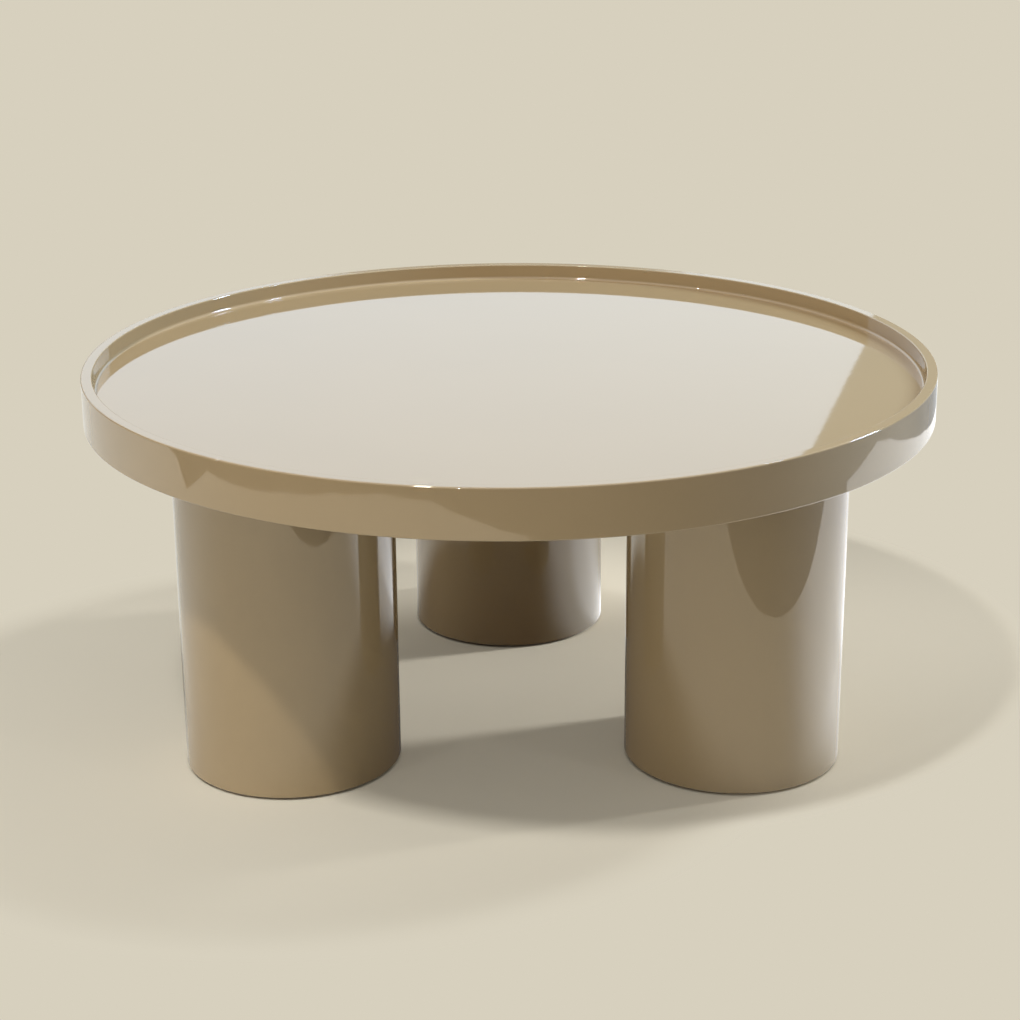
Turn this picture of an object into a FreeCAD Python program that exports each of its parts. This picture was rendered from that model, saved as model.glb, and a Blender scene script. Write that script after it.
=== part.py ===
import FreeCAD, Part
import math
import os

# Round cocktail table: a gloss-lacquered tray top on three hollow drum legs.
# Millimetres, +Z up, origin on the floor under the middle of the top.
# The rear leg stands on +Y and the two front legs stand either side of -Y.

# Top
TABLE_HEIGHT = 406.5        # floor to the upper edge of the rim
TOP_DIAMETER = 914.0        # outside of the rim
LIP_WIDTH = 12.0            # wall of the rim
TRAY_DEPTH = 18.0           # upper edge of the rim down to the tray floor
COVE_RADIUS = 3.5           # hollow corner between the lip and the tray floor
LEDGE_WIDTH = 8.0           # flat of the rim's flange, level with the tray floor
DECK_THICKNESS = 18.0       # board of the tray floor, and depth of the flange beside it
SUB_TOP_THICKNESS = 15.0    # board lapped under the tray floor and the flange
RIM_ROUND = 1.5             # lacquered edges of the rim
GLUE_LINE = 0.1             # radial room for glue round a let-in board

# Drum legs
LEG_NAMES = ("rear", "left", "right")
REAR_LEG_ANGLE = 90.0       # degrees from +X, counted towards +Y
LEG_CIRCLE_DIAMETER = 545.0
LEG_DIAMETER = 230.0
LEG_WALL = 12.0
LEG_ROUND = 1.5             # lacquered edge at the foot of a drum
RABBET_DEPTH = 4.0          # step in the wall that seats the boards at both ends
HEAD_THICKNESS = 25.0       # board in the upper end, which takes the bolts
BASE_THICKNESS = 18.0       # ring in the lower end, which carries the glides
BASE_SETBACK = 1.5          # ring above the lower edge of the wall, which clears the floor

# Leg bolts, with a split lock washer, a flat washer and a threaded insert each
BOLTS_PER_LEG = 3
BOLT_CIRCLE_DIAMETER = 110.0
BOLT_DIAMETER = 8.0
BOLT_CLEARANCE = 0.5        # radial room in the head board
BOLT_HEAD_STEP = 2.5        # head beyond the shank, all round
BOLT_HEAD_HEIGHT = 8.0
BOLT_CHAMFER = 0.8
SOCKET_WIDTH = 6.0          # across the flats of the hexagon key
SOCKET_DEPTH = 4.0
WASHER_RIM = 3.8            # ring width of the flat washer
WASHER_THICKNESS = 1.6
WASHER_ROOM = 0.2           # radial room between either washer and the shank
LOCK_RIM = 3.2              # ring width of the lock washer
LOCK_THICKNESS = 2.0
LOCK_SLIT = 1.5             # cut through the lock washer's ring
INSERT_COVER = 3.0          # board left above an insert
INSERT_WALL = 2.0           # from the thread to the crest of a barb
INSERT_BARBS = 4
BARB_DEPTH = 0.8
BARB_LAND = 0.8             # height of a barb's crest
THREAD_ROOM = 0.05          # radial room round a screw thread
BOLT_TIP_GAP = 0.6          # end of the bolt to the end of the insert

# Glides and their screws
GLIDES_PER_LEG = 4
GLIDE_DIAMETER = 25.0
GLIDE_WEB = 1.0             # nylon between the cone of a screw head and the base ring
GLIDE_MARGIN = 6.0          # base ring left beside a glide, on either side
GLIDE_ROUND = 1.0
SCREW_DIAMETER = 4.0
SCREW_HEAD_STEP = 2.0       # head beyond the shank, all round, and its cone's height
SCREW_SINK = 1.0            # floor to the face of a screw head
SCREW_COVER = 5.0           # base ring left above the point of a screw
SCREW_POINT = 3.0
SCREW_SLOT_WIDTH = 1.0
SCREW_SLOT_DEPTH = 1.0

# Heights worked out from the sizes above
rim_height = TRAY_DEPTH + DECK_THICKNESS + SUB_TOP_THICKNESS
tray_floor_z = TABLE_HEIGHT - TRAY_DEPTH
lap_z = tray_floor_z - DECK_THICKNESS
underside_z = TABLE_HEIGHT - rim_height
head_z = underside_z - HEAD_THICKNESS
base_z = SCREW_SINK + SCREW_HEAD_STEP + GLIDE_WEB
drum_foot_z = base_z - BASE_SETBACK
base_top_z = base_z + BASE_THICKNESS
insert_top_z = underside_z + SUB_TOP_THICKNESS - INSERT_COVER

# Radii and angles worked out from the sizes above
rim_radius = TOP_DIAMETER / 2
lip_radius = rim_radius - LIP_WIDTH
flange_radius = lip_radius - COVE_RADIUS - LEDGE_WIDTH
leg_radius = LEG_DIAMETER / 2
bore_radius = leg_radius - LEG_WALL
seat_radius = bore_radius + RABBET_DEPTH
board_radius = seat_radius - GLUE_LINE
access_radius = board_radius - GLIDE_DIAMETER - 2 * GLIDE_MARGIN
glide_circle_radius = (board_radius + access_radius) / 2
first_glide_angle = 180 / GLIDES_PER_LEG
bolt_radius = BOLT_DIAMETER / 2
screw_radius = SCREW_DIAMETER / 2
insert_radius = bolt_radius + INSERT_WALL

UP = FreeCAD.Vector(0, 0, 1)
ORIGIN = FreeCAD.Vector(0, 0, 0)


def rounded_outline(corners):
    """Closed wire in the XZ plane through (radius, height, rounding) corners."""
    points = [FreeCAD.Vector(radius, 0, height) for radius, height, _ in corners]
    count = len(corners)
    turns = []
    for i, (_, _, rounding) in enumerate(corners):
        corner = points[i]
        back = (points[i - 1] - corner).normalize()
        ahead = (points[(i + 1) % count] - corner).normalize()
        if not rounding:
            turns.append((corner, None, corner))
            continue
        half_angle = back.getAngle(ahead) / 2
        reach = rounding / math.tan(half_angle)
        inset = rounding / math.sin(half_angle) - rounding
        middle = corner + (back + ahead).normalize() * inset
        turns.append((corner + back * reach, middle, corner + ahead * reach))
    edges = []
    for i, (start, middle, end) in enumerate(turns):
        if middle is not None:
            edges.append(Part.Arc(start, middle, end).toShape())
        edges.append(Part.LineSegment(end, turns[(i + 1) % count][0]).toShape())
    return Part.Wire(edges)


def revolved(corners):
    """Solid of revolution about Z of an outline of (radius, height, rounding) corners."""
    solid = Part.Face(rounded_outline(corners)).revolve(ORIGIN, UP, 360)
    return solid if solid.Volume > 0 else solid.reversed()


def disc(radius, low, high):
    """Round board between two heights."""
    return Part.makeCylinder(radius, high - low, FreeCAD.Vector(0, 0, low))


def ring(inner_radius, outer_radius, low, high):
    """Flat ring between two heights."""
    return disc(outer_radius, low, high).cut(disc(inner_radius, low, high))


def patterned(shape, count, circle_radius, first_angle=0.0):
    """Copies of a shape, evenly spaced round a circle about Z and turned to face outwards."""
    copies = []
    for i in range(count):
        copy = shape.copy()
        copy.translate(FreeCAD.Vector(circle_radius, 0, 0))
        copy.rotate(ORIGIN, UP, first_angle + i * 360 / count)
        copies.append(copy)
    return copies


def at_legs(shape):
    """One copy of a shape for each leg, by the leg's name. The shape's X axis points outwards."""
    copies = patterned(shape, len(LEG_NAMES), LEG_CIRCLE_DIAMETER / 2, REAR_LEG_ANGLE)
    return dict(zip(LEG_NAMES, copies))


def rim_hoop():
    """Moulded ring: the lip, the hollow corner, and the flange that meets the tray deck."""
    return revolved([
        (rim_radius, underside_z, RIM_ROUND),
        (rim_radius, TABLE_HEIGHT, RIM_ROUND),
        (lip_radius, TABLE_HEIGHT, RIM_ROUND),
        (lip_radius, tray_floor_z, COVE_RADIUS),
        (flange_radius, tray_floor_z, 0),
        (flange_radius, lap_z, 0),
        (lip_radius, lap_z, 0),
        (lip_radius, underside_z, 0),
    ])


def tray_deck():
    """Board of the tray floor, let into the rim's flange."""
    return disc(flange_radius - GLUE_LINE, lap_z, tray_floor_z)


def sub_top():
    """Board lapped under the deck and the flange, with blind holes for the leg inserts."""
    board = disc(lip_radius - GLUE_LINE, underside_z, lap_z)
    hole = disc(insert_radius, underside_z, insert_top_z)
    holes = Part.makeCompound(patterned(hole, BOLTS_PER_LEG, BOLT_CIRCLE_DIAMETER / 2))
    return board.cut(Part.makeCompound(list(at_legs(holes).values())))


def leg_shell():
    """Rolled drum wall, stepped inside at both ends to seat the head and the base."""
    return revolved([
        (leg_radius, drum_foot_z, LEG_ROUND),
        (leg_radius, underside_z, 0),
        (seat_radius, underside_z, 0),
        (seat_radius, head_z, 0),
        (bore_radius, head_z, 0),
        (bore_radius, base_top_z, 0),
        (seat_radius, base_top_z, 0),
        (seat_radius, drum_foot_z, 0),
    ])


def leg_head():
    """Board in the upper end of a drum, drilled for the bolts."""
    hole = disc(bolt_radius + BOLT_CLEARANCE, head_z, underside_z)
    holes = patterned(hole, BOLTS_PER_LEG, BOLT_CIRCLE_DIAMETER / 2)
    return disc(board_radius, head_z, underside_z).cut(Part.makeCompound(holes))


def leg_base():
    """Ring in the lower end of a drum: a hand and a key reach the bolts through it."""
    pilot = disc(screw_radius + THREAD_ROOM, base_z, base_top_z - SCREW_COVER)
    pilots = patterned(pilot, GLIDES_PER_LEG, glide_circle_radius, first_glide_angle)
    return ring(access_radius, board_radius, base_z, base_top_z).cut(Part.makeCompound(pilots))


def flat_washers():
    """Flat washers against the underside of the head board."""
    inner = bolt_radius + WASHER_ROOM
    washer = ring(inner, inner + WASHER_RIM, head_z - WASHER_THICKNESS, head_z)
    return Part.makeCompound(patterned(washer, BOLTS_PER_LEG, BOLT_CIRCLE_DIAMETER / 2))


def lock_washers():
    """Split lock washers, pressed flat under the flat washers."""
    high = head_z - WASHER_THICKNESS
    low = high - LOCK_THICKNESS
    inner = bolt_radius + WASHER_ROOM
    outer = inner + LOCK_RIM
    slit = Part.makeBox(outer, LOCK_SLIT, LOCK_THICKNESS, FreeCAD.Vector(0, -LOCK_SLIT / 2, low))
    washer = ring(inner, outer, low, high).cut(slit)
    return Part.makeCompound(patterned(washer, BOLTS_PER_LEG, BOLT_CIRCLE_DIAMETER / 2))


def hexagon_prism(width, low, high):
    """Six-sided prism about Z, of a width across its flats."""
    sides = 6
    corner_radius = width / 2 / math.cos(math.pi / sides)
    corners = []
    for i in range(sides + 1):
        angle = 2 * math.pi * i / sides
        corners.append(FreeCAD.Vector(corner_radius * math.cos(angle), corner_radius * math.sin(angle), low))
    return Part.Face(Part.makePolygon(corners)).extrude(UP * (high - low))


def leg_bolts():
    """Socket-head bolts, driven upwards from inside a drum."""
    neck_z = head_z - WASHER_THICKNESS - LOCK_THICKNESS
    face_z = neck_z - BOLT_HEAD_HEIGHT
    tip_z = insert_top_z - BOLT_TIP_GAP
    head_radius = bolt_radius + BOLT_HEAD_STEP
    bolt = revolved([
        (0, face_z, 0),
        (head_radius - BOLT_CHAMFER, face_z, 0),
        (head_radius, face_z + BOLT_CHAMFER, 0),
        (head_radius, neck_z, 0),
        (bolt_radius, neck_z, 0),
        (bolt_radius, tip_z - BOLT_CHAMFER, 0),
        (bolt_radius - BOLT_CHAMFER, tip_z, 0),
        (0, tip_z, 0),
    ])
    bolt = bolt.cut(hexagon_prism(SOCKET_WIDTH, face_z, face_z + SOCKET_DEPTH))
    print("leg bolt: shank %.1f mm under the head" % (tip_z - neck_z))
    return Part.makeCompound(patterned(bolt, BOLTS_PER_LEG, BOLT_CIRCLE_DIAMETER / 2))


def threaded_inserts():
    """Barbed sleeves in the sub-top, flush with its underside, that the bolts screw into."""
    bore = bolt_radius + THREAD_ROOM
    pitch = (insert_top_z - underside_z) / INSERT_BARBS
    corners = [(bore, insert_top_z, 0), (bore, underside_z, 0)]
    for i in range(INSERT_BARBS):
        low = underside_z + i * pitch
        corners.append((insert_radius, low, 0))
        corners.append((insert_radius, low + BARB_LAND, 0))
        corners.append((insert_radius - BARB_DEPTH, low + pitch, 0))
    insert = revolved(corners)
    return Part.makeCompound(patterned(insert, BOLTS_PER_LEG, BOLT_CIRCLE_DIAMETER / 2))


def glides():
    """Nylon floor glides under the base ring, with a sunk seat for a screw head."""
    glide_radius = GLIDE_DIAMETER / 2
    shank = screw_radius + THREAD_ROOM
    seat = screw_radius + SCREW_HEAD_STEP + THREAD_ROOM
    glide = revolved([
        (shank, base_z, 0),
        (shank, SCREW_SINK + SCREW_HEAD_STEP, 0),
        (seat, SCREW_SINK, 0),
        (seat, 0, 0),
        (glide_radius, 0, GLIDE_ROUND),
        (glide_radius, base_z, 0),
    ])
    return Part.makeCompound(patterned(glide, GLIDES_PER_LEG, glide_circle_radius, first_glide_angle))


def glide_screws():
    """Countersunk screws that hold the glides to the base ring."""
    head_radius = screw_radius + SCREW_HEAD_STEP
    tip_z = base_top_z - SCREW_COVER
    screw = revolved([
        (0, SCREW_SINK, 0),
        (head_radius, SCREW_SINK, 0),
        (screw_radius, SCREW_SINK + SCREW_HEAD_STEP, 0),
        (screw_radius, tip_z - SCREW_POINT, 0),
        (0, tip_z, 0),
    ])
    for turn in (0, 90):
        slot = Part.makeBox(
            2 * screw_radius, SCREW_SLOT_WIDTH, SCREW_SLOT_DEPTH,
            FreeCAD.Vector(-screw_radius, -SCREW_SLOT_WIDTH / 2, SCREW_SINK))
        slot.rotate(ORIGIN, UP, turn)
        screw = screw.cut(slot)
    return Part.makeCompound(patterned(screw, GLIDES_PER_LEG, glide_circle_radius, first_glide_angle))


def save(name, shape):
    """Write one node and print its size."""
    shape.exportStep(os.path.join("parts", name + ".step"))
    print("%s: %d solid(s), %.1f cm3" % (name, len(shape.Solids), shape.Volume / 1000))


def main():
    os.makedirs("parts", exist_ok=True)
    save("rim_hoop", rim_hoop())
    save("tray_deck", tray_deck())
    save("sub_top", sub_top())
    leg_pieces = {
        "leg_shell": leg_shell(),
        "leg_head": leg_head(),
        "leg_base": leg_base(),
        "leg_bolts": leg_bolts(),
        "lock_washers": lock_washers(),
        "flat_washers": flat_washers(),
        "threaded_inserts": threaded_inserts(),
        "glides": glides(),
        "glide_screws": glide_screws(),
    }
    for piece, shape in leg_pieces.items():
        for leg, placed in at_legs(shape).items():
            save(leg + "_" + piece, placed)


main()
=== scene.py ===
import math

import bpy
from mathutils import Matrix, Vector


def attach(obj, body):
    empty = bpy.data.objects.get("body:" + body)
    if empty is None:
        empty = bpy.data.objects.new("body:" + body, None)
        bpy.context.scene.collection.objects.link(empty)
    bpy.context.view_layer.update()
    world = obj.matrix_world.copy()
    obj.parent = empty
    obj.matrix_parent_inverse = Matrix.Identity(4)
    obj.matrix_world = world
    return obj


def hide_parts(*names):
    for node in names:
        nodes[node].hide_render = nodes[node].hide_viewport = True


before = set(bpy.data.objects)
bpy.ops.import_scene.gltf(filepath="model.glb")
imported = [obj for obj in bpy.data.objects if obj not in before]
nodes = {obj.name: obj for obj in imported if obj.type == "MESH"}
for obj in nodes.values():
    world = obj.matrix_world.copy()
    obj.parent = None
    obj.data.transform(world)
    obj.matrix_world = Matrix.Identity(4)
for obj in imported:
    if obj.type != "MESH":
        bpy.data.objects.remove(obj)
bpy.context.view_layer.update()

scene = bpy.context.scene
scene.view_settings.view_transform = "Standard"

# Sizes of the lacquered pieces, in metres, as the CAD has them
RIM_RADIUS = 0.457
LIP_RADIUS = 0.445
FLANGE_RADIUS = 0.4335
LIP_TOP = 0.4065
TRAY_FLOOR = 0.3885
LAP = 0.3705
UNDERSIDE = 0.3555
EDGE_ROUND = 0.0015
COVE = 0.0035
LEG_CIRCLE_RADIUS = 0.2725
LEG_RADIUS = 0.115
LEG_BORE = 0.103
LEG_SEAT = 0.107
LEG_FOOT = 0.0025
HEAD_SEAT = 0.3305
BASE_SEAT = 0.022
LEG_AZIMUTHS = {"rear": 90.0, "left": 210.0, "right": 330.0}

# Fineness of the turned meshes
ROUND_STEPS = 8
TOP_STEPS = 480
LEG_STEPS = 240
TINY = 1e-9                 # a length below this counts as none
PLACE_DIGITS = 8            # decimals to which two corners are one place
WALL_MARGIN = 0.001         # beyond the seat's radius, where the drum's inner faces end

# Colours in linear light: the lacquer and the paper
TAUPE = (0.372, 0.258, 0.128)
PAPER = (0.680, 0.631, 0.515)

# The floor as reflections see it: a painted reflection of the lit floor, brighter to the left and much
# brighter to the right, with painted shade under the table
NEAR_IN_GLOSS = (0.64, 0.60, 0.52)
FAR_IN_GLOSS = (0.75, 0.70, 0.60)
LEFT_IN_GLOSS = (0.92, 0.92, 0.86)
RIGHT_IN_GLOSS = (1.72, 1.74, 1.76)
SHADED_IN_GLOSS = (0.09, 0.08, 0.07)
EVEN_LEFT_IN_GLOSS = (0.64, 0.61, 0.54)
EVEN_RIGHT_IN_GLOSS = (1.10, 1.09, 1.06)

# The floor as it throws light back on the table: brighter than the paper near it, less farther out, with
# painted shade under the table
PAPER_BOUNCE = (0.92, 0.99, 1.04)
FAR_BOUNCE = (0.62, 0.68, 0.72)
SHADED_BOUNCE = (0.20, 0.14, 0.06)

# The studio round the paper, the card, the lamps and the sky
FRONT_STUDIO = (0.01, 0.04, 0.09)
PALE_STUDIO = (0.97, 1.0, 1.03)
COOL_CARD = (1.24, 1.38, 1.50)
COOL_LAMP = (0.55, 0.73, 1.0)
WHITE_LAMP = (1.0, 1.0, 1.0)
SKY_LOW_IN_GLOSS = (0.48, 0.45, 0.36)
SKY_HIGH_IN_GLOSS = (1.0, 1.0, 1.0)
SKY_LIGHT = (0.30, 0.30, 0.30)
SKY_RISE = (0.42, 0.62)


# Lathe meshes with exact normals

def outline(corners):
    """Closed outline of (radius, height, rounding) corners, counter-clockwise.

    It comes back as pieces: start, its normal, end, its normal, and whether the piece is on a rounding.
    """
    count = len(corners)
    points = [Vector((r, z)) for r, z, _ in corners]
    runs = [(points[(i + 1) % count] - points[i]).normalized() for i in range(count)]
    faces = [Vector((d.y, -d.x)) for d in runs]
    arcs = []
    for i, (_, _, rounding) in enumerate(corners):
        before, after = faces[i - 1], faces[i]
        if rounding == 0.0:
            arcs.append([(points[i], before), (points[i], after)])
            continue
        side = 1.0 if runs[i - 1].cross(runs[i]) > 0.0 else -1.0
        half = 0.5 * runs[i - 1].angle(runs[i])
        middle = points[i] - side * (before + after).normalized() * rounding / math.cos(half)
        start = math.atan2(before.y, before.x)
        sweep = side * 2.0 * half
        arc = []
        for step in range(ROUND_STEPS + 1):
            angle = start + sweep * step / ROUND_STEPS
            normal = Vector((math.cos(angle), math.sin(angle)))
            arc.append((middle + side * normal * rounding, normal))
        arcs.append(arc)
    pieces = []
    for i, arc in enumerate(arcs):
        for (p, n), (q, m) in zip(arc, arc[1:]):
            if (q - p).length > TINY:
                pieces.append((p, n, q, m, True))
        start, end = arc[-1][0], arcs[(i + 1) % count][0][0]
        pieces.append((start, faces[i], end, faces[i], False))
    return pieces


def corner_key(point):
    return round(point.x, PLACE_DIGITS), round(point.y, PLACE_DIGITS)


def lathe(name, corners, steps, centre=(0.0, 0.0)):
    """Turned solid about a vertical axis. Rounded edges carry an edge attribute for the finish."""
    pieces = [p for p in outline(corners) if p[0].x > TINY or p[2].x > TINY]
    corner_points = {}
    for piece in pieces:
        for point in (piece[0], piece[2]):
            corner_points.setdefault(corner_key(point), point)
    angles = [2.0 * math.pi * k / steps for k in range(steps)]
    places, rows = [], {}
    for key, point in corner_points.items():
        if point.x < TINY:
            rows[key] = [len(places)] * steps
            places.append((centre[0], centre[1], point.y))
            continue
        rows[key] = list(range(len(places), len(places) + steps))
        for a in angles:
            places.append((centre[0] + point.x * math.cos(a), centre[1] + point.x * math.sin(a), point.y))
    faces, normals, on_edge = [], [], []
    for p, n, q, m, rounded in pieces:
        low, high = rows[corner_key(p)], rows[corner_key(q)]
        for k in range(steps):
            j = (k + 1) % steps
            ring = [(low[k], n, k), (low[j], n, j), (high[j], m, j), (high[k], m, k)]
            if p.x < TINY:
                ring = [ring[0], ring[2], ring[3]]
            elif q.x < TINY:
                ring = [ring[0], ring[1], ring[2]]
            faces.append([v for v, _, _ in ring])
            on_edge.append(1.0 if rounded else 0.0)
            for _, normal, turn in ring:
                a = angles[turn]
                normals.append((normal.x * math.cos(a), normal.x * math.sin(a), normal.y))
    mesh = bpy.data.meshes.new(name)
    mesh.from_pydata(places, [], faces)
    mesh.update()
    mesh.polygons.foreach_set("use_smooth", [True] * len(faces))
    mesh.normals_split_custom_set(normals)
    edge = mesh.attributes.new("edge", "FLOAT", "FACE")
    edge.data.foreach_set("value", on_edge)
    piece = bpy.data.objects.new(name, mesh)
    scene.collection.objects.link(piece)
    return piece


# Node trees

class Nodes:
    """Adds nodes to a tree, and feeds their sockets from outputs, numbers, vectors and colours."""

    MIX_COLOURS = (6, 7)    # sockets of a Mix node that is set to colours
    MIX_RESULT = 2

    def __init__(self, tree):
        self.tree = tree

    def node(self, kind, **values):
        made = self.tree.nodes.new(kind)
        for key, value in values.items():
            setattr(made, key, value)
        return made

    def feed(self, socket, source):
        if isinstance(source, tuple) and socket.type == "RGBA":
            socket.default_value = (*source, 1.0)
        elif isinstance(source, (float, tuple)):
            socket.default_value = source
        else:
            self.tree.links.new(source, socket)

    def add(self, kind, *sources, **values):
        """First output of a new node, whose first sockets take the sources in order."""
        made = self.node(kind, **values)
        for socket, source in zip(made.inputs, sources):
            self.feed(socket, source)
        return made.outputs[0]

    def math(self, operation, *sources):
        return self.add("ShaderNodeMath", *sources, operation=operation)

    def step(self, value, low, high, top=1.0):
        return self.add("ShaderNodeMapRange", value, low, high, 0.0, top, interpolation_type="SMOOTHSTEP")

    def mix(self, factor, first, second):
        made = self.node("ShaderNodeMix", data_type="RGBA")
        self.feed(made.inputs["Factor"], factor)
        for index, source in zip(self.MIX_COLOURS, (first, second)):
            self.feed(made.inputs[index], source)
        return made.outputs[self.MIX_RESULT]


# Finishes of the pieces

class Finish(Nodes):
    """A procedural material around one Principled shader, laid out from object coordinates."""

    def __init__(self, name):
        self.material = bpy.data.materials.new(name)
        self.material.use_nodes = True
        super().__init__(self.material.node_tree)
        self.shader = self.tree.nodes["Principled BSDF"].inputs
        self.place = self.node("ShaderNodeTexCoord").outputs["Object"]

    def stretched(self, scale):
        made = self.node("ShaderNodeMapping")
        self.feed(made.inputs["Scale"], scale)
        self.feed(made.inputs["Vector"], self.place)
        return made.outputs["Vector"]

    def noise(self, scale, detail=3.0, rough=0.5, place=None):
        made = self.node("ShaderNodeTexNoise")
        self.feed(made.inputs["Scale"], scale)
        self.feed(made.inputs["Detail"], detail)
        self.feed(made.inputs["Roughness"], rough)
        self.feed(made.inputs["Vector"], place or self.place)
        return made.outputs["Fac"]

    def ranged(self, value, low, high, from_low=0.3, from_high=0.7):
        return self.add("ShaderNodeMapRange", value, from_low, from_high, low, high)

    def bump(self, height, distance):
        made = self.node("ShaderNodeBump")
        self.feed(made.inputs["Strength"], 1.0)
        self.feed(made.inputs["Distance"], distance)
        self.feed(made.inputs["Height"], height)
        return made.outputs["Normal"]


def tinted(colour, factor):
    return tuple(min(1.0, c * factor) for c in colour)


def gloss_lacquer():
    """Polished lacquer: faint clouds and flecks, thinner on the edges, with a trace of orange peel."""
    made = Finish("gloss_taupe_lacquer")
    clouds = made.ranged(made.noise(scale=5.0, detail=2.0), 0.0, 1.0)
    colour = made.mix(clouds, tinted(TAUPE, 0.985), tinted(TAUPE, 1.015))
    flecks = made.ranged(made.noise(scale=900.0, detail=2.0), 0.0, 1.0, from_low=0.62, from_high=0.74)
    colour = made.mix(flecks, colour, tinted(TAUPE, 0.96))
    edge = made.node("ShaderNodeAttribute", attribute_name="edge").outputs["Fac"]
    thin = made.ranged(edge, 0.0, 0.35, from_low=0.0, from_high=1.0)
    colour = made.mix(thin, colour, tinted(TAUPE, 1.10))
    haze = made.ranged(made.noise(scale=60.0, detail=4.0, rough=0.6), 0.022, 0.040)
    peel = made.bump(made.noise(scale=95.0, detail=2.0), distance=0.000010)
    made.feed(made.shader["Base Color"], colour)
    made.feed(made.shader["Roughness"], haze)
    made.feed(made.shader["Normal"], peel)
    made.feed(made.shader["IOR"], 1.80)
    return made.material


def sealed_board(name, colour):
    made = Finish(name)
    fibres = made.ranged(made.noise(scale=420.0, detail=4.0, rough=0.65), 0.0, 1.0)
    tone = made.mix(fibres, tinted(colour, 0.80), tinted(colour, 1.18))
    clouds = made.ranged(made.noise(scale=9.0), 0.0, 0.5)
    tone = made.mix(clouds, tone, tinted(colour, 0.88))
    made.feed(made.shader["Base Color"], tone)
    made.feed(made.shader["Roughness"], made.ranged(fibres, 0.52, 0.70, from_low=0.0, from_high=1.0))
    made.feed(made.shader["Normal"], made.bump(fibres, distance=0.00006))
    return made.material


def worked_metal(name, colour, smooth, rough, stretch):
    made = Finish(name)
    lines = made.noise(scale=60.0, rough=0.6, place=made.stretched(stretch))
    clouds = made.ranged(made.noise(scale=140.0), 0.0, 1.0)
    tone = made.mix(clouds, tinted(colour, 0.86), tinted(colour, 1.06))
    made.feed(made.shader["Base Color"], tone)
    made.feed(made.shader["Roughness"], made.ranged(lines, smooth, rough))
    made.feed(made.shader["Normal"], made.bump(lines, distance=0.00002))
    made.feed(made.shader["Metallic"], 1.0)
    return made.material


def moulded_nylon():
    made = Finish("moulded_nylon")
    grain = made.noise(scale=1400.0, detail=2.0)
    clouds = made.ranged(made.noise(scale=120.0), 0.0, 1.0)
    tone = made.mix(clouds, (0.060, 0.054, 0.047), (0.085, 0.077, 0.067))
    made.feed(made.shader["Base Color"], tone)
    made.feed(made.shader["Roughness"], made.ranged(grain, 0.42, 0.58))
    made.feed(made.shader["Normal"], made.bump(grain, distance=0.00003))
    return made.material


lacquer = gloss_lacquer()
board = sealed_board("sealed_board", (0.200, 0.160, 0.110))
raw_wall = sealed_board("raw_drum_wall", (0.300, 0.210, 0.120))
zinc = worked_metal("zinc_plate", (0.62, 0.62, 0.60), smooth=0.22, rough=0.40, stretch=(4.0, 4.0, 60.0))
brass = worked_metal("turned_brass", (0.72, 0.55, 0.25), smooth=0.20, rough=0.34, stretch=(3.0, 3.0, 80.0))
nylon = moulded_nylon()

FINISHES = {
    "sub_top": board, "leg_head": board, "leg_base": board, "leg_bolts": zinc, "lock_washers": zinc,
    "flat_washers": zinc, "glide_screws": zinc, "threaded_inserts": brass, "glides": nylon,
}

for name, node in nodes.items():
    for ending, finish in FINISHES.items():
        if name.endswith(ending):
            node.data.materials.clear()
            node.data.materials.append(finish)


# The lacquered pieces

def lacquered(piece, node):
    piece.data.materials.append(lacquer)
    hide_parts(node)
    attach(piece, "root")


rim = lathe("rim_hoop_lacquered", [
    (RIM_RADIUS, UNDERSIDE, EDGE_ROUND), (RIM_RADIUS, LIP_TOP, EDGE_ROUND), (LIP_RADIUS, LIP_TOP, EDGE_ROUND),
    (LIP_RADIUS, TRAY_FLOOR, COVE), (FLANGE_RADIUS, TRAY_FLOOR, 0.0), (FLANGE_RADIUS, LAP, 0.0),
    (LIP_RADIUS, LAP, 0.0), (LIP_RADIUS, UNDERSIDE, 0.0)], TOP_STEPS)
lacquered(rim, "rim_hoop")

deck = lathe("tray_deck_lacquered", [
    (0.0, LAP, 0.0), (FLANGE_RADIUS, LAP, 0.0), (FLANGE_RADIUS, TRAY_FLOOR, 0.0), (0.0, TRAY_FLOOR, 0.0),
], TOP_STEPS)
lacquered(deck, "tray_deck")

leg_centres = {}
for leg, azimuth in LEG_AZIMUTHS.items():
    turn = math.radians(azimuth)
    centre = (LEG_CIRCLE_RADIUS * math.cos(turn), LEG_CIRCLE_RADIUS * math.sin(turn))
    leg_centres[leg] = centre
    shell = lathe(leg + "_leg_shell_lacquered", [
        (LEG_RADIUS, LEG_FOOT, EDGE_ROUND), (LEG_RADIUS, UNDERSIDE, 0.0), (LEG_SEAT, UNDERSIDE, 0.0),
        (LEG_SEAT, HEAD_SEAT, 0.0), (LEG_BORE, HEAD_SEAT, 0.0), (LEG_BORE, BASE_SEAT, 0.0),
        (LEG_SEAT, BASE_SEAT, 0.0), (LEG_SEAT, LEG_FOOT, 0.0)], LEG_STEPS, centre)
    lacquered(shell, leg + "_leg_shell")
    shell.data.materials.append(raw_wall)
    for face in shell.data.polygons:
        place = face.center
        if math.hypot(place.x - centre[0], place.y - centre[1]) < LEG_SEAT + WALL_MARGIN:
            face.material_index = 1


# Camera, fitted to the photo's edges
LENS = 79.001
SENSOR_WIDTH = 36.0
CAMERA_DISTANCE = 2.48004
CAMERA_ELEVATION = math.radians(18.87603)
CAMERA_AZIMUTH = math.radians(-0.44231)
CAMERA_ROLL = math.radians(-0.38954)
CAMERA_AIM = Vector((-0.00008, 0.0, 0.22952))
SIGHT = 100.0

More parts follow.
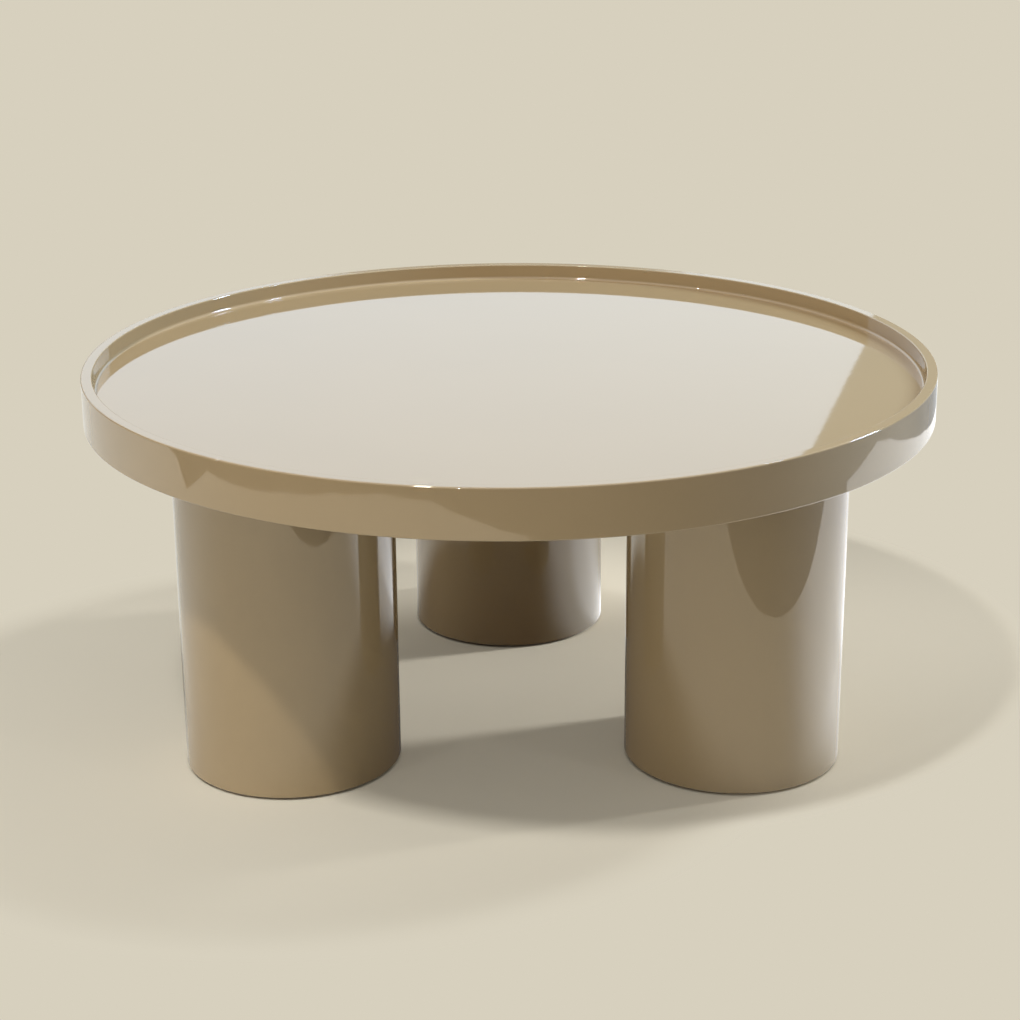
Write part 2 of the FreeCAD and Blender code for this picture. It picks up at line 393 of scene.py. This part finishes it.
back = Vector((math.sin(CAMERA_AZIMUTH) * math.cos(CAMERA_ELEVATION),
               -math.cos(CAMERA_AZIMUTH) * math.cos(CAMERA_ELEVATION), math.sin(CAMERA_ELEVATION)))
level = (-back).cross(Vector((0.0, 0.0, 1.0))).normalized()
upright = level.cross(-back)
right = math.cos(CAMERA_ROLL) * level + math.sin(CAMERA_ROLL) * upright
up = math.cos(CAMERA_ROLL) * upright - math.sin(CAMERA_ROLL) * level
view = bpy.data.cameras.new("view")
view.sensor_width = SENSOR_WIDTH
view.lens = LENS
view.clip_end = SIGHT
camera = bpy.data.objects.new("view", view)
scene.collection.objects.link(camera)
turned = Matrix((right, up, back)).transposed().to_4x4()
camera.matrix_world = Matrix.Translation(CAMERA_AIM + back * CAMERA_DISTANCE) @ turned
scene.camera = camera


# Stage: a pale floor that runs into an even background, and cards that only reflections see

def bearings(low, high, *share):
    """Two bearings given in degrees, in radians, with the share of the rise between them if there is one."""
    return (math.radians(low), math.radians(high), *share)


# The floor in reflections: where shade is painted on it, and how its painted brightness rises round the table
GLOSS_SHADE_CENTRE = (0.0, -0.05, 0.0)
GLOSS_SHADE_EDGE = (0.22, 0.40)
REAR_SHADE_CENTRE = (-0.24, 0.12, 0.0)
REAR_SHADE_EDGE = (0.14, 0.30)
NEAR_TO_FAR = (0.8, 1.3)
SIDE_BLEND = (-0.05, 0.05)
LEFT_RISE = bearings(-38.0, 8.0)
RIGHT_RISE = bearings(-42.0, -14.0)
RIGHT_GLOSS_CENTRE = (0.05, 0.12, 0.0)
RIGHT_GLOSS_EDGE = (0.38, 0.50)
RIGHT_FALL = bearings(10.0, 45.0, 0.9)
RIGHT_FALL_REACH = (0.8, 1.1)
BACK_FADE = bearings(45.0, 80.0)
REAR_RISES = [bearings(-62.0, -30.0, 0.45), bearings(-26.0, -8.0, 0.55), bearings(12.0, 45.0, -1.0)]
STUDIO_RISES = [bearings(-60.0, -15.0, 0.30), bearings(-30.0, 8.0, 0.40), bearings(15.0, 30.0, -0.25),
                bearings(42.0, 56.0, 0.25)]
EVEN_REACH = (1.74, 1.86)
EVEN_ACROSS = (-1.9, 1.9)

# The floor as it throws light back, with painted shade under the table, and as the camera sees it in the
# shadows, where a glow of painted light is added
BOUNCE_SHADE_CENTRE = (0.0, 0.06, 0.0)
BOUNCE_SHADE_EDGE = (0.12, 0.32)
BOUNCE_FALL = (0.5, 1.1)
CONTACT_IN = 0.003
CONTACT_OUT = 0.002
FLOOR_GLOW = 0.16
REAR_GLOW = 0.26
REAR_GLOW_RISE = (0.20, 0.36)
REAR_GLOW_REACH = (0.18, 0.42)
KEY_PLACE = (-1.326, -2.022, 4.682)
RIGHT_PLACE = (1.82, 0.38, 3.60)
SHADOW_EDGES = {KEY_PLACE: (-0.024, 0.008), RIGHT_PLACE: (-0.060, 0.012)}


def sheet_mesh(name, places, faces):
    mesh = bpy.data.meshes.new(name)
    mesh.from_pydata(places, [], faces)
    mesh.update()
    made = bpy.data.objects.new(name, mesh)
    scene.collection.objects.link(made)
    return made


def reflected_only(card):
    card.visible_camera = False
    card.visible_diffuse = False
    card.visible_shadow = False
    card.visible_transmission = False
    card.visible_volume_scatter = False


class Paint(Nodes):
    """A material of the stage, painted by the place on the ground."""

    def __init__(self, name):
        self.material = bpy.data.materials.new(name)
        self.material.use_nodes = True
        super().__init__(self.material.node_tree)
        self.tree.nodes.clear()
        geometry = self.node("ShaderNodeNewGeometry").outputs
        self.place = geometry["Position"]
        self.from_below = geometry["Backfacing"]

    def length(self, vector):
        made = self.node("ShaderNodeVectorMath", operation="LENGTH")
        self.feed(made.inputs[0], vector)
        return made.outputs["Value"]

    def distance(self, point):
        return self.length(self.add("ShaderNodeVectorMath", self.place, point, operation="SUBTRACT"))

    def offsets(self, x=0.0, y=0.0):
        made = self.node("ShaderNodeSeparateXYZ")
        self.feed(made.inputs[0], self.place)
        return self.math("SUBTRACT", made.outputs["X"], x), self.math("SUBTRACT", made.outputs["Y"], y)

    def less(self, value):
        """What is left of 1 without the value."""
        return self.math("SUBTRACT", 1.0, value)

    def steps(self, value, rises):
        total = 0.0
        for low, high, share in rises:
            total = self.math("ADD", total, self.step(value, low, high, share))
        return total

    def finish(self, shader):
        self.feed(self.node("ShaderNodeOutputMaterial").inputs["Surface"], shader)
        return self.material


def evened_beyond(paint, seen):
    """Ground beyond the main view's reflections is one soft tone, so no edge of it shows from elsewhere."""
    even = paint.mix(paint.step(paint.offsets()[0], *EVEN_ACROSS), EVEN_LEFT_IN_GLOSS, EVEN_RIGHT_IN_GLOSS)
    return paint.mix(paint.step(paint.length(paint.place), *EVEN_REACH), seen, even)


def floor_in_gloss(paint):
    """Painted reflection of the floor as the lacquer shows it: painted shade below the table, painted
    brightness to the left and much more to the right.
    """
    across, along = paint.offsets()
    bearing = paint.math("ARCTAN2", along, paint.math("ABSOLUTE", across))
    on_right = paint.step(across, *SIDE_BLEND)
    before_back = paint.less(paint.step(bearing, *BACK_FADE))
    seen = paint.mix(paint.step(paint.length(paint.place), *NEAR_TO_FAR), NEAR_IN_GLOSS, FAR_IN_GLOSS)

    left = paint.math("MULTIPLY", paint.less(on_right), paint.step(bearing, *LEFT_RISE))
    seen = paint.mix(paint.math("MULTIPLY", left, before_back), seen, LEFT_IN_GLOSS)

    right_across, right_along = paint.offsets(*leg_centres["right"])
    fall = paint.step(paint.math("ARCTAN2", right_along, right_across), *RIGHT_FALL)
    close = paint.less(paint.step(paint.length(paint.place), *RIGHT_FALL_REACH))
    kept = paint.less(paint.math("MULTIPLY", fall, close))
    right = paint.math("MULTIPLY", on_right, paint.math("MULTIPLY", kept, paint.step(bearing, *RIGHT_RISE)))
    beyond = paint.step(paint.distance(RIGHT_GLOSS_CENTRE), *RIGHT_GLOSS_EDGE)
    right = paint.math("MULTIPLY", paint.math("MULTIPLY", right, beyond), before_back)
    seen = paint.mix(right, seen, RIGHT_IN_GLOSS)

    # painted shade in the reflections, under the table and towards the rear left
    for centre, edge in ((GLOSS_SHADE_CENTRE, GLOSS_SHADE_EDGE), (REAR_SHADE_CENTRE, REAR_SHADE_EDGE)):
        seen = paint.mix(paint.step(paint.distance(centre), *edge), SHADED_IN_GLOSS, seen)

    rear_across, rear_along = paint.offsets(*leg_centres["rear"])
    rear = paint.steps(paint.math("ARCTAN2", rear_along, rear_across), REAR_RISES)
    return paint.mix(paint.math("MULTIPLY", on_right, rear), seen, RIGHT_IN_GLOSS)


def outside_shadows(paint):
    """1 on the floor outside the shadows that the top casts from the key lamp and the right lamp."""
    open_floor = 1.0
    for (x, y, z), (inner, outer) in SHADOW_EDGES.items():
        reaches = []
        for height in (UNDERSIDE, LIP_TOP):
            rise = height / z
            cast = paint.add("ShaderNodeVectorMath", paint.place, (1.0 - rise, 1.0 - rise, 0.0),
                             (x * rise, y * rise, 0.0), operation="MULTIPLY_ADD")
            reaches.append(paint.length(cast))
        reach = paint.math("MINIMUM", *reaches)
        outside = paint.step(reach, RIM_RADIUS + inner, RIM_RADIUS + outer)
        open_floor = paint.math("MULTIPLY", open_floor, outside)
    return open_floor


def glow_in_shadows(paint):
    """Painted light in the shadows: a glow, more of it near the rear leg, and none under the legs, which
    leaves a painted dark contact line there.
    """
    behind = paint.step(paint.offsets()[1], *REAR_GLOW_RISE, REAR_GLOW)
    away = paint.step(paint.distance((*leg_centres["rear"], 0.0)), *REAR_GLOW_REACH)
    glow = paint.math("ADD", paint.math("MULTIPLY", behind, paint.less(away)), FLOOR_GLOW)
    for x, y in leg_centres.values():
        clear = paint.step(paint.distance((x, y, 0.0)), LEG_RADIUS - CONTACT_IN, LEG_RADIUS + CONTACT_OUT)
        glow = paint.math("MULTIPLY", glow, clear)
    return glow


def floor_material():
    """Pale paper. As in the photo, the camera sees it even, save in the shadows of the table top.

    A camera below the floor looks through it at the underside of the table.
    """
    paint = Paint("pale_floor")
    path = paint.node("ShaderNodeLightPath").outputs
    # painted shade under the table in the light that the floor throws back
    open_floor = paint.step(paint.distance(BOUNCE_SHADE_CENTRE), *BOUNCE_SHADE_EDGE)
    bounce = paint.mix(paint.step(paint.length(paint.place), *BOUNCE_FALL), PAPER_BOUNCE, FAR_BOUNCE)
    colour = paint.mix(path["Is Diffuse Ray"], PAPER, paint.mix(open_floor, SHADED_BOUNCE, bounce))
    lit = paint.add("ShaderNodeBsdfDiffuse", colour)

    # painted light: the floor glows in the shadows for the camera
    glow = paint.math("MULTIPLY", path["Is Camera Ray"], glow_in_shadows(paint))
    shaded = paint.add("ShaderNodeAddShader", lit, paint.add("ShaderNodeEmission", PAPER, glow))
    openness = paint.math("MULTIPLY", path["Is Camera Ray"], outside_shadows(paint))
    seen = paint.add("ShaderNodeMixShader", openness, shaded, paint.add("ShaderNodeEmission", PAPER))

    mirrored = paint.add("ShaderNodeEmission", evened_beyond(paint, floor_in_gloss(paint)))
    surface = paint.add("ShaderNodeMixShader", path["Is Glossy Ray"], seen, mirrored)
    hidden = paint.math("MULTIPLY", path["Is Camera Ray"], paint.from_below)
    nothing = paint.add("ShaderNodeBsdfTransparent")
    return paint.finish(paint.add("ShaderNodeMixShader", hidden, surface, nothing))


def studio_material():
    """The studio floor round the paper, seen only in reflections: an emission, dark in front and painted
    paler towards the right, where the lamps stand.
    """
    paint = Paint("studio_floor")
    across, along = paint.offsets()
    paleness = paint.steps(paint.math("ARCTAN2", along, across), STUDIO_RISES)
    seen = paint.mix(paleness, FRONT_STUDIO, PALE_STUDIO)
    return paint.finish(paint.add("ShaderNodeEmission", evened_beyond(paint, seen)))


def card_material():
    paint = Paint("cool_card")
    return paint.finish(paint.add("ShaderNodeEmission", COOL_CARD))


FLOOR_HALF = 30.0
floor_corners = [(x * FLOOR_HALF, y * FLOOR_HALF, 0.0) for x, y in ((-1, -1), (1, -1), (1, 1), (-1, 1))]
floor = sheet_mesh("floor", floor_corners, [(0, 1, 2, 3)])
floor.data.materials.append(floor_material())

# The pale paper ends here, outside the picture; the studio floor beyond it is darker
FRONT_EDGE = [(-1.63, -0.11), (-1.58, -0.20), (-1.43, -0.28), (-1.51, -0.47), (-1.23, -0.98),
              (-1.01, -1.25), (-0.78, -1.43), (-0.49, -1.54), (-0.19, -1.52), (0.09, -1.46)]
RIGHT_EDGE = [(1.23, -0.16), (1.39, -0.29), (1.52, 0.04), (1.56, 0.17), (1.51, 0.32), (1.32, 0.61),
              (1.15, 0.82), (0.79, 1.17)]
FLAG_CORNER = (-0.10, -1.122)
STUDIO_REACH = 12.0
CARD_HEIGHT = 0.002
studio_paint = studio_material()


def studio_floor(name, edge):
    places = [(x, y, CARD_HEIGHT) for x, y in edge]
    for x, y in edge:
        out = STUDIO_REACH / math.hypot(x, y)
        places.append((x * out, y * out, CARD_HEIGHT))
    count = len(edge)
    apron = sheet_mesh(name, places, [(i, i + count, i + 1 + count, i + 1) for i in range(count - 1)])
    apron.data.materials.append(studio_paint)
    reflected_only(apron)


studio_floor("front_studio_floor", FRONT_EDGE)
studio_floor("middle_studio_floor", [FRONT_EDGE[-1], RIGHT_EDGE[0]])
studio_floor("right_studio_floor", RIGHT_EDGE)
flag_places = [(x, y, CARD_HEIGHT) for x, y in (FRONT_EDGE[-1], RIGHT_EDGE[0], FLAG_CORNER)]
flag = sheet_mesh("dark_flag", flag_places, [(0, 1, 2)])
flag.data.materials.append(studio_paint)
reflected_only(flag)

# Bright card behind the table, whose slanted side shows in the tray: it glows, a painted reflection of a lit
# card that only reflections see
BACK_CARD_Y = 3.0
BACK_CARD = [(-3.2, 1.0), (0.969, 1.0), (0.326, 2.426), (-3.2, 2.43)]
back_card = sheet_mesh("back_card", [(x, BACK_CARD_Y, z) for x, z in BACK_CARD], [(0, 1, 2, 3)])
back_card.data.materials.append(card_material())
reflected_only(back_card)


# Lamps: those for the table and those for the floor are apart, as the photo's ground has fainter shadows
LAMP_AIM = Vector((0.0, 0.0, 0.2))
only_floor = bpy.data.collections.new("only_floor")
only_floor.objects.link(floor)
all_but_floor = bpy.data.collections.new("all_but_floor")
all_but_floor.objects.link(floor)
all_but_floor.collection_objects[0].light_linking.link_state = "EXCLUDE"


def place_lamp(data, place, aim, receivers, turn=0.0):
    made = bpy.data.objects.new(data.name, data)
    turned = (aim - place).to_track_quat("-Z", "Y").to_matrix() @ Matrix.Rotation(turn, 3, "Z")
    made.matrix_world = Matrix.Translation(place) @ turned.to_4x4()
    made.light_linking.receiver_collection = receivers
    scene.collection.objects.link(made)
    return made


def lamp(name, place, level, size, receivers, aim=LAMP_AIM, turn=0.0, colour=WHITE_LAMP):
    """Area lamp, whose level is the tone of a white card that faces it at the table's middle."""
    data = bpy.data.lights.new(name, "AREA")
    data.shape = "RECTANGLE"
    data.size, data.size_y = size
    data.color = colour
    place = Vector(place)
    data.energy = level * math.pi ** 2 * (LAMP_AIM - place).length_squared
    return place_lamp(data, place, aim, receivers, turn)


# Lamps of the table: a key lamp, cool lamps on the right, four that only glint, and a fill on the left
STRIP_X = 2.0
STRIP_Y = 0.65
STRIP_WIDTH = 0.16
RIGHT_LAMP_HEIGHT = 3.1
GLINTS = [(-0.66, -2.56, 2.69), (-2.05, -1.72, 2.64), (-2.56, -0.91, 2.59), (-2.86, -0.15, 2.40)]
FILL_PLACE = (-2.6, -1.8, 0.25)


def right_strip(name, height, level, length):
    """Upright strip on the right, which faces the table's axis."""
    return lamp(name, (STRIP_X, STRIP_Y, height), level, (STRIP_WIDTH, length), all_but_floor,
                aim=Vector((0.0, 0.0, height)), colour=COOL_LAMP)


lamp("key_lamp", KEY_PLACE, level=0.56, size=(0.20, 0.20), receivers=all_but_floor)
right_strip("right_strip_low", height=1.60, level=0.50, length=0.5)
high_strip = right_strip("right_strip_high", height=2.45, level=0.86, length=1.1)
high_strip.visible_glossy = False
for number, place in enumerate(GLINTS):
    glint = lamp("glint_%d" % number, place, level=0.06, size=(0.06, 0.06), receivers=all_but_floor)
    glint.visible_diffuse = False
lamp("right_lamp", (STRIP_X, STRIP_Y, RIGHT_LAMP_HEIGHT), level=0.10, size=(0.20, 0.20),
     receivers=all_but_floor, colour=COOL_LAMP)
fill = lamp("left_fill", FILL_PLACE, level=0.15, size=(1.0, 0.3), receivers=all_but_floor)
fill.visible_glossy = False

# Lamps of the floor: the same key and right places, a narrow low one for the ground between the legs, and
# two in front
RIGHT_TURN = math.radians(-35.0)
POOL_PLACE = Vector((3.85, 1.10, 2.05))
POOL_AIM = Vector((0.04, 0.09, 0.0))
POOL_LEVEL = 1.2
POOL_ANGLE = math.radians(9.5)
POOL_SOFTNESS = 0.33
FRONT_LAMPS = {"left": (-2.8, -2.9, 1.7), "right": (3.3, -2.3, 1.7)}

lamp("floor_key_lamp", KEY_PLACE, level=0.455, size=(0.50, 0.50), receivers=only_floor)
lamp("floor_right_lamp", RIGHT_PLACE, level=0.24, size=(0.12, 1.0), receivers=only_floor, turn=RIGHT_TURN)
pool_light = bpy.data.lights.new("floor_pool_lamp", "SPOT")
pool_light.spot_size = POOL_ANGLE
pool_light.spot_blend = 1.0
pool_light.shadow_soft_size = POOL_SOFTNESS
pool_light.energy = POOL_LEVEL * 4.0 * math.pi ** 2 * (POOL_AIM - POOL_PLACE).length_squared
place_lamp(pool_light, POOL_PLACE, POOL_AIM, only_floor)
for side, place in FRONT_LAMPS.items():
    lamp("floor_front_lamp_" + side, place, level=0.05, size=(0.3, 0.8), receivers=only_floor)


# Sky: plain soft light, darker near the ground in reflections, and paper where the camera sees it

def studio_sky():
    world = bpy.data.worlds.new("studio")
    world.use_nodes = True
    sky = Nodes(world.node_tree)
    axes = sky.node("ShaderNodeSeparateXYZ")
    sky.feed(axes.inputs[0], sky.node("ShaderNodeTexCoord").outputs["Generated"])
    path = sky.node("ShaderNodeLightPath").outputs
    reflected = sky.mix(sky.step(axes.outputs["Z"], *SKY_RISE), SKY_LOW_IN_GLOSS, SKY_HIGH_IN_GLOSS)
    colour = sky.mix(path["Is Glossy Ray"], SKY_LIGHT, reflected)
    colour = sky.mix(path["Is Camera Ray"], colour, PAPER)
    background = sky.tree.nodes["Background"].inputs
    sky.feed(background["Strength"], 1.0)
    sky.feed(background["Color"], colour)
    return world


scene.world = studio_sky()

bpy.context.view_layer.update()
